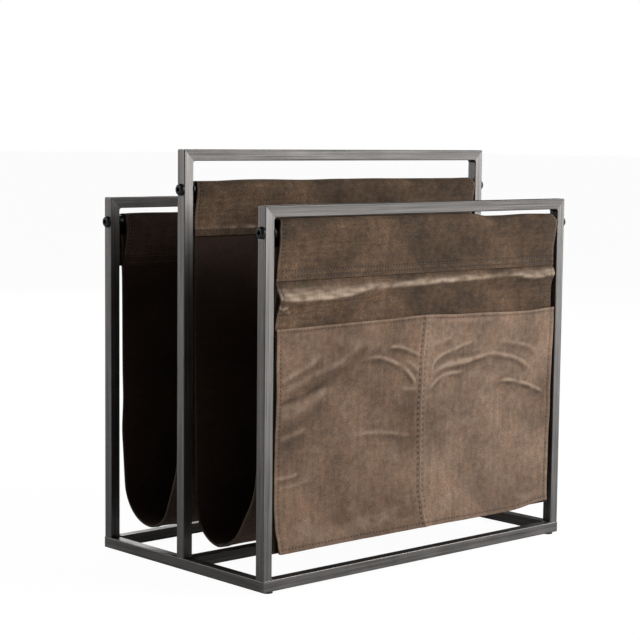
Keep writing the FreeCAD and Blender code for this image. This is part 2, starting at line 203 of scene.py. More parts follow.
def math_node(tree, operation, first, second):
    """Two grey values, or a value and a number, put through one sum."""
    node = tree.nodes.new("ShaderNodeMath")
    node.operation = operation
    tree.links.new(first, node.inputs[0])
    if isinstance(second, (int, float)):
        node.inputs[1].default_value = second
    else:
        tree.links.new(second, node.inputs[1])
    return node.outputs[0]


def mix_node(tree, amount, first, second):
    """Mixes two colours by a grey amount; each is a socket or a colour."""
    node = tree.nodes.new("ShaderNodeMix")
    node.data_type = "RGBA"
    tree.links.new(amount, node.inputs[0])
    for socket, colour in ((node.inputs[6], first), (node.inputs[7], second)):
        if isinstance(colour, tuple):
            socket.default_value = (*colour, 1)
        else:
            tree.links.new(colour, socket)
    return node.outputs[2]


def mapping_node(tree, vector, scale):
    """Stretches a vector by scale on each axis."""
    node = tree.nodes.new("ShaderNodeMapping")
    node.inputs["Scale"].default_value = scale
    tree.links.new(vector, node.inputs["Vector"])
    return node.outputs["Vector"]


def bump_node(tree, height, distance, shader):
    """Raises the surface by a grey height, at most distance."""
    node = tree.nodes.new("ShaderNodeBump")
    node.inputs["Distance"].default_value = distance
    tree.links.new(height, node.inputs["Height"])
    tree.links.new(node.outputs["Normal"], shader.inputs["Normal"])


linished = tree_group("linished_steel",
                      {"Place": "Vector", "Lines": "Vector", "Dark": "Color", "Light": "Color"},
                      {"Color": "Color", "Roughness": "Float", "Height": "Float"})


def fill_linished(group, given, result):
    """Fine lines along the tube, over slow clouds where the darkening took unevenly."""
    lines = noise_node(group, given.outputs["Lines"], 1.0, 3.0, 0.65)
    clouds = noise_node(group, given.outputs["Place"], 34.0, 4.0, 0.6)
    specks = noise_node(group, given.outputs["Place"], 900.0, 1.0)
    tone = math_node(group, "ADD", remap_node(group, lines, 0.34, 0.66, 0.0, 0.72),
                     remap_node(group, clouds, 0.3, 0.7, 0.0, 0.2))
    tone = math_node(group, "ADD", tone, remap_node(group, specks, 0.3, 0.7, 0.0, 0.1))
    group.links.new(mix_node(group, tone, given.outputs["Dark"], given.outputs["Light"]),
                    result.inputs["Color"])
    group.links.new(remap_node(group, clouds, 0.3, 0.7, 0.36, 0.5), result.inputs["Roughness"])
    group.links.new(lines, result.inputs["Height"])


fill_linished(*linished)


line_depth = 0.00002


def gunmetal(name, line_scale, dark, light):
    """Darkened steel whose lines are stretched by line_scale along each axis."""
    material, tree, shader = new_material(name)
    shader.inputs["Metallic"].default_value = 0.85
    shader.inputs["Specular IOR Level"].default_value = 0.4
    place = tree.nodes.new("ShaderNodeTexCoord").outputs["Object"]
    finish = tree.nodes.new("ShaderNodeGroup")
    finish.node_tree = linished[0]
    finish.inputs["Dark"].default_value = (*dark, 1)
    finish.inputs["Light"].default_value = (*light, 1)
    tree.links.new(place, finish.inputs["Place"])
    tree.links.new(mapping_node(tree, place, line_scale), finish.inputs["Lines"])
    tree.links.new(finish.outputs["Color"], shader.inputs["Base Color"])
    tree.links.new(finish.outputs["Roughness"], shader.inputs["Roughness"])
    bump_node(tree, finish.outputs["Height"], line_depth, shader)
    return material


def finish_nodes(names, material):
    """Gives CAD nodes their material, in every slot."""
    for name in names:
        mesh = nodes[name].data
        if not mesh.materials:
            mesh.materials.append(material)
        for slot in range(len(mesh.materials)):
            mesh.materials[slot] = material


steel_dark = (0.082, 0.078, 0.075)
steel_light = (0.222, 0.212, 0.205)
# The top bars get a darker copy of the same gunmetal: painted shade, offsetting light they catch more than
# the uprights.
bar_dark = (0.043, 0.041, 0.039)
bar_light = (0.130, 0.123, 0.118)
along_line, across_line = 8, 620
steel_bar = gunmetal("gunmetal_bar_painted_shade", (along_line, across_line, across_line), bar_dark, bar_light)
steel_x = gunmetal("gunmetal_across", (along_line, across_line, across_line), steel_dark, steel_light)
steel_y = gunmetal("gunmetal_deep", (across_line, along_line, across_line), steel_dark, steel_light)
steel_z = gunmetal("gunmetal_upright", (across_line, across_line, along_line), steel_dark, steel_light)
hoops = ("front", "middle", "back")
finish_nodes(["base_front_rail", "base_back_rail", "base_centre_rail"], steel_x)
finish_nodes([f"{hoop}_top_bar" for hoop in hoops], steel_bar)
finish_nodes(["base_left_rail", "base_right_rail"], steel_y)
finish_nodes([f"{hoop}_{side}_upright" for hoop in hoops for side in ("left", "right")], steel_z)
weld_grain = 300
weld_dark = (0.13, 0.126, 0.12)
weld_light = (0.21, 0.2, 0.19)
weld_metal = gunmetal("weld_metal", (weld_grain, weld_grain, weld_grain), weld_dark, weld_light)
finish_nodes(["foot_welds"], weld_metal)


# ---- Hanger rods, screws and glides
# A round steel rod hangs in each hoop between two blackened button-head screws. Four black
# plastic glides under the base corners keep the steel off the floor.

rod_dark = (0.012, 0.0115, 0.011)
rod_light = (0.03, 0.029, 0.028)
rod_metal = gunmetal("rod_steel", (along_line, across_line, across_line), rod_dark, rod_light)
finish_nodes([f"{hoop}_hanger_rod" for hoop in hoops], rod_metal)


grain_depth = 0.00003


def dark_solid(name, dark, light, roughness, metallic, grain):
    """A dark moulded or blackened finish with a fine uneven grain."""
    material, tree, shader = new_material(name)
    shader.inputs["Metallic"].default_value = metallic
    place = tree.nodes.new("ShaderNodeTexCoord").outputs["Object"]
    speck = noise_node(tree, place, grain, 3.0)
    tree.links.new(mix_node(tree, remap_node(tree, speck, 0.3, 0.7, 0, 1), dark, light),
                   shader.inputs["Base Color"])
    tree.links.new(remap_node(tree, speck, 0.3, 0.7, roughness, roughness + 0.15),
                   shader.inputs["Roughness"])
    bump_node(tree, speck, grain_depth, shader)
    return material


finish_nodes([f"{hoop}_rod_screws" for hoop in hoops],
             dark_solid("black_oxide", (0.012, 0.012, 0.013), (0.035, 0.034, 0.034), 0.34, 0.6, 700))
finish_nodes(["glides"],
             dark_solid("black_plastic", (0.012, 0.012, 0.012), (0.022, 0.022, 0.022), 0.55, 0.0, 1300))


# ---- Sleeves
# A strip of nubuck folded over each rod, its two leaves stitched together below with the tops of
# the slings between them. The edges draw in a little, and the hem puckers along its stitches.

nubuck_group = tree_group("nubuck",
                          {"Place": "Vector", "Nap": "Vector", "Ground": "Color", "WornAndLit": "Color",
                           "RubAndLight": "Float", "Patchiness": "Float"},
                          {"Color": "Color", "Roughness": "Float", "Height": "Float"})


def scale_node(tree, colour, amount):
    """A colour times a grey value."""
    node = tree.nodes.new("ShaderNodeVectorMath")
    node.operation = "SCALE"
    tree.links.new(colour, node.inputs[0])
    tree.links.new(amount, node.inputs["Scale"])
    return node.outputs[0]


def tint_node(tree, colour, tint):
    """A colour times a fixed tint."""
    node = tree.nodes.new("ShaderNodeVectorMath")
    node.operation = "MULTIPLY"
    tree.links.new(colour, node.inputs[0])
    node.inputs[1].default_value = tint
    return node.outputs[0]


warm_tint = (1.035, 0.985, 0.945)
cool_tint = (0.98, 1.01, 1.015)


def fill_nubuck(group, given, result):
    """Brushed hide: cloudy patches, streaks of nap, fine fibres, paler crests that are partly rubbed
    and partly painted highlight, and painted shade where the rub value is below zero.
    """
    clouds = noise_node(group, given.outputs["Place"], 15.0, 5.0, 0.58)
    mottle = noise_node(group, given.outputs["Place"], 165.0, 5.0, 0.68)
    streaks = noise_node(group, given.outputs["Nap"], 1.0, 4.0, 0.65)
    fibres = noise_node(group, given.outputs["Place"], 720.0, 3.0, 0.75)
    tone = math_node(group, "MULTIPLY", remap_node(group, clouds, 0.3, 0.7, 0.62, 1.42),
                     remap_node(group, mottle, 0.28, 0.72, 0.78, 1.24))
    tone = math_node(group, "MULTIPLY", tone, remap_node(group, streaks, 0.28, 0.72, 0.85, 1.16))
    tone = math_node(group, "MULTIPLY", tone, remap_node(group, fibres, 0.28, 0.72, 0.68, 1.34))
    tone = math_node(group, "POWER", tone, given.outputs["Patchiness"])
    shaded = scale_node(group, given.outputs["Ground"], tone)
    warmed = tint_node(group, shaded, warm_tint)
    cooled = tint_node(group, shaded, cool_tint)
    dye = noise_node(group, given.outputs["Place"], 46.0, 4.0, 0.6)
    dyed = mix_node(group, remap_node(group, dye, 0.36, 0.64, 0, 1), cooled, warmed)
    # Where the rub attribute is above zero the colour blends paler: partly rubbed nubuck, partly painted
    # highlight.
    rubbed_and_lit = math_node(group, "MULTIPLY", given.outputs["RubAndLight"],
                       remap_node(group, mottle, 0.3, 0.7, 0.6, 1.25))
    colour = mix_node(group, remap_node(group, rubbed_and_lit, 0, 1, 0, 1), dyed, given.outputs["WornAndLit"])
    # Where it is below zero the colour is darkened: painted shade in crease hollows, stitch channels and hem
    # strips.
    painted_shade = scale_node(group, colour, remap_node(group, given.outputs["RubAndLight"], -1, 0, 0.4, 1))
    group.links.new(painted_shade, result.inputs["Color"])
    group.links.new(remap_node(group, streaks, 0.3, 0.7, 0.78, 0.95), result.inputs["Roughness"])
    height = math_node(group, "ADD", remap_node(group, fibres, 0, 1, 0, 0.4),
                       remap_node(group, mottle, 0, 1, 0, 1.0))
    group.links.new(height, result.inputs["Height"])


fill_nubuck(*nubuck_group)


nap_depth = 0.00022


def nubuck(name, ground, worn_and_lit, nap_scale, sheen=0.08, patchiness=1.0):
    """Brushed leather of one dye lot. nap_scale stretches its streaks along the hide, and a
    patchiness over 1 sets its light and dark patches further apart."""
    material, tree, shader = new_material(name)
    shader.inputs["Specular IOR Level"].default_value = 0.25
    shader.inputs["Sheen Weight"].default_value = sheen
    shader.inputs["Sheen Roughness"].default_value = 0.45
    shader.inputs["Sheen Tint"].default_value = (0.9, 0.8, 0.7, 1)
    hide = tree.nodes.new("ShaderNodeUVMap")
    hide.uv_map = "hide"
    rub_and_light = tree.nodes.new("ShaderNodeAttribute")
    rub_and_light.attribute_name = "rub_and_light"
    finish = tree.nodes.new("ShaderNodeGroup")
    finish.node_tree = nubuck_group[0]
    finish.inputs["Ground"].default_value = (*ground, 1)
    finish.inputs["WornAndLit"].default_value = (*worn_and_lit, 1)
    finish.inputs["Patchiness"].default_value = patchiness
    tree.links.new(hide.outputs["UV"], finish.inputs["Place"])
    tree.links.new(mapping_node(tree, hide.outputs["UV"], nap_scale), finish.inputs["Nap"])
    tree.links.new(rub_and_light.outputs["Fac"], finish.inputs["RubAndLight"])
    tree.links.new(finish.outputs["Color"], shader.inputs["Base Color"])
    tree.links.new(finish.outputs["Roughness"], shader.inputs["Roughness"])
    bump_node(tree, finish.outputs["Height"], nap_depth, shader)
    return material


nap_down = (260, 34, 1)
nap_across = (26, 260, 1)
crest_wear_and_highlight = (0.36, 0.26, 0.19)
sleeve_face = nubuck("nubuck_sleeve", (0.079, 0.049, 0.030), crest_wear_and_highlight, nap_across, patchiness=1.8)
# The back sleeve's ground is darker than the others': painted shade for the deep shade it hangs in.
shaded_face = nubuck("nubuck_back_sleeve_painted_shade", (0.036, 0.0205, 0.0125), crest_wear_and_highlight, nap_across,
                     sheen=0.0, patchiness=1.5)
# Backs of sleeves, band and panels are near black: partly the flesh side's darker colour, partly painted
# shade.
sleeve_back = nubuck("nubuck_flesh_painted_shade", (0.014, 0.009, 0.006), crest_wear_and_highlight, nap_down, sheen=0.0)
# The cut edges are near black: painted shade for the deep shadow the side edges are seen in.
cut_edge = nubuck("nubuck_cut_edge_painted_shade", (0.020, 0.0135, 0.0095), crest_wear_and_highlight, nap_down, sheen=0.0)


bend_step = 4


def bent_line(corners):
    """A line in (y, z) through corners, each (y, z) or (y, z, bend radius), in millimetres.
    Returns a function giving the place and the left-hand normal at a distance, and the length.
    A bend is drawn in steps of bend_step degrees."""
    points = [Vector(corners[0][:2])]
    for before, corner, after in zip(corners, corners[1:], corners[2:]):
        here, bend = Vector(corner[:2]), corner[2]
        towards = (Vector(before[:2]) - here).normalized()
        onwards = (Vector(after[:2]) - here).normalized()
        half_angle = towards.angle(onwards) / 2
        reach = bend / math.tan(half_angle)
        centre = here + (towards + onwards).normalized() * bend / math.sin(half_angle)
        start, end = here + towards * reach - centre, here + onwards * reach - centre
        pieces = max(3, math.ceil(math.degrees(start.angle(end)) / bend_step))
        points += [centre + start.slerp(end, i / pieces) * bend for i in range(pieces + 1)]
    points.append(Vector(corners[-1][:2]))
    gone = [0.0]
    for a, b in zip(points, points[1:]):
        gone.append(gone[-1] + (b - a).length)
    ways = [(b - a).normalized() for a, b in zip(points[:1] + points, points[1:] + points[-1:])
            if (b - a).length > 0]
    ways = [ways[0]] + [(a + b).normalized() for a, b in zip(ways, ways[1:])] + [ways[-1]]

    def at(distance):
        i = min(max(bisect.bisect_right(gone, distance), 1), len(points) - 1)
        part = (distance - gone[i - 1]) / (gone[i] - gone[i - 1])
        way = ways[i - 1].lerp(ways[i], min(max(part, 0), 1)).normalized()
        return points[i - 1].lerp(points[i], part), Vector((-way.y, way.x))

    return at, gone[-1]


def ease(value, start, end):
    """0 before start, 1 after end, and smooth between."""
    part = min(max((value - start) / (end - start), 0), 1)
    return part * part * (3 - 2 * part)


def hump(value, middle, width):
    """A rounded bump 1 high at middle."""
    return math.exp(-((value - middle) / width) ** 2)


rim_share = 0.22


def lay_hide(name, width, length, step, shape, thickness, materials):
    """A rectangle of leather cut flat, in millimetres, then laid on shape, which gives the place of
    each point (across, along) of the cut and its rub value: paler where rubbed or painted highlight,
    darker below zero as painted shade. materials: face, back, cut edge.
    The cut edge is rounded over rim_share of the thickness."""
    bm = bmesh.new()
    hide = bm.loops.layers.uv.new("hide")
    rub_and_light = bm.verts.layers.float.new("rub_and_light")
    bmesh.ops.create_grid(bm, x_segments=round(width / step), y_segments=round(length / step), size=0.5)
    bmesh.ops.scale(bm, vec=(width, length, 1), verts=bm.verts)
    bmesh.ops.translate(bm, vec=(0, length / 2, 0), verts=bm.verts)
    for face in bm.faces:
        face.smooth = True
        for loop in face.loops:
            loop[hide].uv = loop.vert.co.xy * mm
    for vert in bm.verts:
        place, vert[rub_and_light] = shape(vert.co.x, vert.co.y)
        vert.co = place * mm
    mesh = mesh_from(bm, name)
    for material in materials:
        mesh.materials.append(material)
    piece = put(name, mesh)
    wall = piece.modifiers.new("thickness", "SOLIDIFY")
    wall.thickness = thickness * mm
    wall.offset = 0
    wall.material_offset = 1
    wall.material_offset_rim = 2
    rim = piece.modifiers.new("cut_edge", "BEVEL")
    rim.width = thickness * rim_share * mm
    rim.segments = 2
    rim.limit_method = "ANGLE"
    rim.angle_limit = math.radians(60)
    return piece


def waxed_thread(name, dark, light):
    """Brown bonded thread, a little shiny."""
    material = dark_solid(name, dark, light, 0.5, 0.0, 1500)
    material.node_tree.nodes["Principled BSDF"].inputs["Sheen Weight"].default_value = 0.2
    return material


def one_stitch():
    """A single stitch, 1 long from hole to hole: a spindle of thread, and at one end a dark blob
    of painted shade for the needle hole.
    """
    hole_size, hole_place, hole_start = (0.36, 1.6, 0.8), (0.5, 0, 0.1), 0.34
    bm = bmesh.new()
    spindle = bmesh.ops.create_uvsphere(bm, u_segments=6, v_segments=4, radius=0.5)["verts"]
    bmesh.ops.rotate(bm, cent=(0, 0, 0), matrix=Matrix.Rotation(math.pi / 2, 3, "Y"), verts=spindle)
    bmesh.ops.scale(bm, vec=(0.64, 1, 1), verts=spindle)
    hole = bmesh.ops.create_uvsphere(bm, u_segments=6, v_segments=3, radius=0.5)["verts"]
    bmesh.ops.scale(bm, vec=hole_size, verts=hole)
    bmesh.ops.translate(bm, vec=hole_place, verts=hole)
    for face in bm.faces:
        face.smooth = True
        face.material_index = 1 if face.calc_center_median().x > hole_start else 0
    return mesh_from(bm, "one_stitch")


dark_thread = waxed_thread("dark_thread", (0.075, 0.053, 0.039), (0.17, 0.128, 0.097))
pale_thread = waxed_thread("pale_thread", (0.17, 0.12, 0.088), (0.34, 0.25, 0.19))
# The needle holes are near-black blobs: painted shade.
needle_hole_shade = dark_solid("needle_hole_shade", (0.006, 0.004, 0.003), (0.014, 0.01, 0.007), 0.9, 0.0, 900)
stitch_wide, stitch_tall, thread_slant, thread_sink = 0.85, 0.6, 0.12, 0.1
stitch = one_stitch()


def sew(name, shape, rows, side, body, pitch=3.8, girth=1.0, thread=None):
    """Stitches along rows on a laid hide; a row is a list of (across, along) points of the cut.
    side is the distance from the hide's middle to the face that the thread lies on, with sign,
    pitch the distance between holes, and girth how thick the thread is."""
    turns = []
    for start, end in rows:
        start, end = Vector(start), Vector(end)
        count = round((end - start).length / pitch)
        step = (end - start) / count
        beside = Vector((-step.y, step.x)).normalized() * 0.8
        for k in range(count):
            middle = start + step * (k + 0.5)
            here = shape(*middle)[0]
            along = (shape(*(middle + step * 0.3))[0] - here).normalized()
            across = (shape(*(middle + beside))[0] - here).normalized()
            up = along.cross(across).normalized()
            along = (along + across * thread_slant).normalized()
            turned = Matrix((along * step.length, up.cross(along) * girth * stitch_wide, up * stitch_tall))
            turned = turned.transposed().to_4x4()
            turned.translation = here + up * side
            turns.append(Matrix.Scale(mm, 4) @ turned)
    bm = bmesh.new()
    for _ in turns:
        bm.from_mesh(stitch)
    bm.verts.ensure_lookup_table()
    size = len(stitch.vertices)
    for k, turned in enumerate(turns):
        for vert in bm.verts[k * size:(k + 1) * size]:
            vert.co = turned @ vert.co
    mesh = mesh_from(bm, name)
    mesh.materials.append(thread or dark_thread)
    mesh.materials.append(needle_hole_shade)
    piece = put(name, mesh)
    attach(piece, body)
    return piece


sleeve_wide, sleeve_thick = 350, 1.6
sleeve_pitch, sleeve_girth = 3.4, 0.75
edge_row, row_half, stitch_groove = 4.2, 1.1, 0.28


def rod_middle(hoop):
    """The (y, z) of a hoop's rod, in millimetres."""
    low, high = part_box(f"{hoop}_hanger_rod")
    return (low[1] + high[1]) / 2 / mm, (low[2] + high[2]) / 2 / mm


def make_sleeve(hoop, face, mouth, lift, draw_in, hem_rows, gather):
    """Folds a sleeve over a hoop's rod: mouth is half the gap between the leaves, lift(x) how far the
    fold stands off the rod, draw_in(side, leaf, behind) how far an edge is drawn in, hem_rows the
    stitched rows' distances from the lower edge, gather the height of the ridge puckered up there."""
    rod_y, rod_z = rod_middle(hoop)
    loop, drop = 6.9, 41
    row_inset, side_row_inset = 3, 10
    places = range(-170, 171, 10)
    crown = loop + sum(lift(x) for x in places) / len(places)
    line, length = bent_line([
        (-mouth, -drop), (-mouth, -24, 40), (-loop, -2, 18), (-loop, crown, loop),
        (loop, crown, loop), (loop, -2, 18), (mouth, -24, 40), (mouth, -drop)])

    def shape(across, along):
        (y, z), normal = line(along)
        leaf = min(along, length - along)
        side = -1 if across < 0 else 1
        edge = sleeve_wide / 2 - abs(across)
        x = across - side * draw_in(side, leaf, along > length / 2) * math.exp(-edge / 22)
        top = ease(leaf, length / 2 - 24, length / 2 - 8)
        seed = Vector((across / 55, along / 30, rod_z))
        soft = 0.9 * max(noise.noise(seed), -0.2) * ease(leaf, 2, 16)
        hem = -stitch_groove * sum(hump(leaf, row, row_half) for row in hem_rows)
        ridge = max(0, 0.6 + 0.9 * noise.noise(Vector((across / 6, rod_z, 3))))
        ridge *= gather * hump(leaf, hem_rows[-1] + 1.4, 1.1)
        rows = hump(edge, edge_row, row_half)
        seed = Vector((across / 7, along / 60, rod_z + 5))
        wave = 0.25 * (0.5 + noise.noise(seed)) * hump(leaf, 5.5, 3.5)
        flare = 0.15 * hump(leaf, 0, 2)
        out = soft + hem + wave + flare + ridge - stitch_groove * rows
        # The hem ridge and its puckers, the side edge line and the lower edge are paler as painted
        # highlight; the strip under the ridge, the side rows and the hem rows are darkened as painted shade.
        rub_and_light = 0.5 * wave + 0.75 * ridge
        rub_and_light -= 0.5 * gather * (1 - ease(leaf, hem_rows[-1] - 1, hem_rows[-1]))
        rub_and_light += 0.18 * hump(edge, 2, 1.5)
        rub_and_light += 0.08 * hump(leaf, 1, 1.2)
        rub_and_light -= 0.35 * rows
        rub_and_light -= 0.3 * sum(hump(leaf, row, 1.0) for row in hem_rows)
        y += normal.x * out
        z += normal.y * out + top * (lift(across) - crown + loop)
        return Vector((x, rod_y + y, rod_z + z)), rub_and_light

    name = f"{hoop}_leather_sleeve"
    sleeve = lay_hide(name, sleeve_wide, length, 1.75, shape, sleeve_thick, (face, sleeve_back, cut_edge))
    half = sleeve_wide / 2
    last = half - row_inset
    hem = [[(-last, row), (last, row)] for row in hem_rows]
    hem += [[(-last, length - row), (last, length - row)] for row in hem_rows]
    sides = [[(side * (half - edge_row), side_row_inset),
              (side * (half - edge_row), length - side_row_inset)] for side in (-1, 1)]
    threads = sew(f"{hoop}_sleeve_stitches", shape, hem + sides, sleeve_thick / 2, "rack",
                  sleeve_pitch, sleeve_girth)
    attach(sleeve, "rack")
    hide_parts(f"{hoop}_sleeve")
    return sleeve


def front_draw(side, leaf, behind):
    """The front sleeve's left edge is waisted; both top corners are rounded."""
    waist = 2.0 * math.sin(math.pi * min(leaf / 42, 1)) - 1.4 if side < 0 and not behind else -1.5
    return waist + 3 * ease(leaf, 43, 52)


def straight_draw(side, leaf, behind):
    """The middle sleeve's edges run straight to rounded top corners."""
    return 3 * ease(leaf, 43, 52) - 2


def waisted_draw(side, leaf, behind):
    """The back sleeve's front edges are drawn in most at half height."""
    return (-2 if behind else 3.5 * math.sin(math.pi * min(leaf / 44, 1))) + 3 * ease(leaf, 42, 52)


def front_lift(x):
    """The front sleeve stands off its rod, most over the left two thirds."""
    return 0.8 + 3.2 * (1 - ease(x, 55, 85))


def middle_lift(x):
    """The middle sleeve lies on its rod, a little unevenly."""
    return 0.4 * noise.noise(Vector((x / 60, 0, 0)))


def back_lift(x):
    """The back sleeve is drawn tight over its rod."""
    return -0.4


front_sleeve = make_sleeve("front", sleeve_face, 2.9, front_lift, front_draw, (3.0, 8.5), 0)
middle_sleeve = make_sleeve("middle", sleeve_face, 2.9, middle_lift, straight_draw, (5.8,), 0.9)
back_sleeve = make_sleeve("back", shaded_face, 1.9, back_lift, waisted_draw, (3.0, 8.5), 0.2)


# ---- Slings
# Two hides hang between the sleeves and make the pockets: each is one long piece, grain to the
# outside, its ends sewn up inside the sleeves and its side edges finished with one row.

sling_wide, sling_thick, sling_step = 350, 2.0, 3.0
sewn_in = 44
# The sling's inside is far darker than its outside: partly the flesh side's darker colour, partly painted
# shade.
sling_inside = nubuck("nubuck_sling_inside_painted_shade", (0.030, 0.0155, 0.0100), crest_wear_and_highlight, nap_down, sheen=0.0)
sling_outside = nubuck("nubuck_sling_outside", (0.095, 0.06, 0.044), crest_wear_and_highlight, nap_down)


def through(*stops):
    """A smooth value through (at, value) stops."""
    def value(at):
        if at <= stops[0][0]:
            return stops[0][1]
        for (start, low), (end, high) in zip(stops, stops[1:]):
            if at <= end:
                return low + (high - low) * ease(at, start, end)
        return stops[-1][1]
    return value


def make_sling(name, node, corners, left_edge, sag, seed):
    """Hangs one sling along its line of corners, in (y, z) millimetres, from front to back.
    left_edge(along) is how far its left edge stands out, sag how much lower it hangs inwards of it."""
    line, length = bent_line(corners)

    def shape(across, along):
        (y, z), normal = line(along)
        side = -1 if across < 0 else 1
        edge = sling_wide / 2 - abs(across)
        free = ease(along, 45, 110) * ease(length - along, 45, 110)
        flare = left_edge(along) if side < 0 else 2.2 * free
        x = across + side * flare * math.exp(-edge / 25)
        soft = 1.8 * noise.noise(Vector((across / 90, along / 110, seed))) * ease(across, -165, -90)
        soft += 0.5 * noise.noise(Vector((across / 24, along / 40, seed + 3))) * ease(edge, 0, 30)
        curl = 0.4 * hump(edge, 0, 7)
        row = hump(edge, edge_row, row_half)
        out = free * (soft - curl) - 0.2 * row
        # A faint painted highlight along the side edges, and painted shade along their stitch rows.
        rub_and_light = 0.12 * hump(edge, 0.5, 1.5) - 0.2 * row
        z -= sag * hump(along, length / 2, 90) * ease(across, -172, -115)
        return Vector((x, y + normal.x * out, z + normal.y * out)), rub_and_light

    sling = lay_hide(name, sling_wide, length, sling_step, shape, sling_thick,
                     (sling_inside, sling_outside, cut_edge))
    row = sling_wide / 2 - edge_row
    rows = [[(side * row, sewn_in), (side * row, length - sewn_in)] for side in (-1, 1)]
    inner = sew(name + "_inner_stitches", shape, rows, sling_thick / 2 - thread_sink, "rack")
    outer = sew(name + "_outer_stitches", shape, rows, thread_sink - sling_thick / 2, "rack")
    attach(sling, "rack")
    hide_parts(node)


make_sling("front_leather_sling", "front_sling",
           [(-107.45, 293), (-107.45, 258, 150), (-86.2, 78, 70), (-56, 27.5, 40),
            (-14, 26.5, 32), (-6.8, 60, 80), (-1.05, 290.5, 150), (-1.05, 325.5)],
           through((20, 0), (40, -3), (70, -2), (110, 1.5), (300, 1.5), (500, 1.5), (580, 0)), 0, 2.0)
make_sling("back_leather_sling", "back_sling",
           [(1.05, 325.5), (1.05, 290.5, 150), (23, 84, 80), (44, 28, 28), (97, 28, 38),
            (105.5, 110, 150), (107, 255, 150), (108.5, 275, 150), (108.5, 293)],
           through((20, 0), (110, 1), (300, 0.8), (365, 0.5), (420, 0), (455, -1.4), (480, -1), (570, -0.8)),
           2.4, 9.0)


# ---- Apron
# A double flap that hangs down the front from the front sleeve. Its band is stitched into the
# sleeve's mouth and rolls outwards, and two panels, joined down the middle, hang from the band.

apron_thick = 1.8
left_face = nubuck("nubuck_left_panel", (0.170, 0.109, 0.074), crest_wear_and_highlight, nap_down, patchiness=1.25)
right_face = nubuck("nubuck_right_panel", (0.202, 0.135, 0.095), crest_wear_and_highlight, nap_down, patchiness=1.25)
roll_highlight_cream = (0.50, 0.385, 0.285)
band_face = nubuck("nubuck_band", (0.083, 0.051, 0.031), roll_highlight_cream, nap_across, patchiness=1.9)

roll_height = through((-177, 250), (-157, 248.5), (-115, 248.5), (-94, 250), (-66, 254.3), (-36, 254.8),
                      (0, 255.7), (88, 257), (113, 258), (145, 254.7), (177, 256))
roll_size = through((-177, 5.2), (-100, 5.6), (-50, 4.2), (10, 5.0), (60, 4.4), (100, 3.6), (150, 5.2),
                    (177, 4.8))
roll_highlight = through((-177, 0.7), (-160, 1.1), (-110, 1.05), (-88, 0.95), (-70, 0.65), (-40, 0.7), (0, 0.85),
                   (60, 0.7), (100, 0.3), (140, 0.7), (177, 0.8))
roll_glow = through((-177, 6), (-110, 6.5), (-80, 4), (-50, 2.6), (20, 3), (100, 2), (150, 4.5))
band_wide, band_long, band_top, band_foot = 350, 57, 268.5, 216
band_middle, band_step = -109.7, 1.2
band_row_low, band_row_high = 10, 43


def smooth_line(points):
    """A smooth line through given points, in short straight steps."""
    knots = [Vector(point) for point in points]
    line = []
    for i, (a, b) in enumerate(zip(knots, knots[1:])):
        before, after = knots[max(i - 1, 0)], knots[min(i + 2, len(knots) - 1)]
        line += interpolate_bezier(a, a + (b - before) / 6, b - (after - a) / 6, b, 6)[:-1]
    return line + [knots[-1]]


def crease_field(creases):
    """Creases, each (height, width, points), become a function of (x, z) that gives how far they
    raise the hide there and its rub value: crests paler, partly rubbed and partly painted highlight,
    hollows darker as painted shade. Each is a crest with a shallow hollow below it; a negative
    height makes a groove painted dark."""
    laid = []
    for tall, wide, points in creases:
        line = smooth_line(points)
        spread = 5 * wide
        laid.append((tall, wide, line, min(p.x for p in line) - spread, max(p.x for p in line) + spread,
                     min(p.y for p in line) - spread, max(p.y for p in line) + spread))

    def field(x, z):
        rise = rub_and_light = 0.0
        here = Vector((x + 1.2 * noise.noise(Vector((x / 19, z / 19, 3))),
                       z + 1.2 * noise.noise(Vector((x / 19, z / 19, 7)))))
        uneven = 0.9 + 0.7 * noise.noise(Vector((x / 11, z / 11, 11)))
        for tall, wide, line, left, right, low, high in laid:
            if not (left < x < right and low < z < high):
                continue
            nearest = (math.inf, 0, here)
            for i, (a, b) in enumerate(zip(line, line[1:])):
                part = min(max(intersect_point_line(here, a, b)[1], 0), 1)
                foot = a.lerp(b, part)
                nearest = min(nearest, ((foot - here).length, i + part, foot), key=lambda n: n[0])
            gap, part, foot = nearest
            part /= len(line) - 1
            fade = ease(min(part, 1 - part), 0, 0.17) * uneven
            above = gap if here.y > foot.y else -gap
            crest = hump(above, 0, wide) * fade
            hollow = hump(above, -2.4 * wide, 1.8 * wide) * fade
            rise += 0.75 * tall * (crest - 0.35 * hollow)
            # Paler crest: partly rubbed nubuck, partly painted highlight; darker hollow: painted shade.
            rub_and_light += min(tall, 1.3) * (crest * 2.0 / max(wide, 2.0) - 0.6 * hollow)
        return rise, rub_and_light

    return field


band_creases = crease_field([
    (0.7, 1.1, [(-176, 243), (-170, 241), (-163, 242)]),
    (0.6, 1.0, [(-175, 238), (-168, 238.6), (-160, 237)]),
])


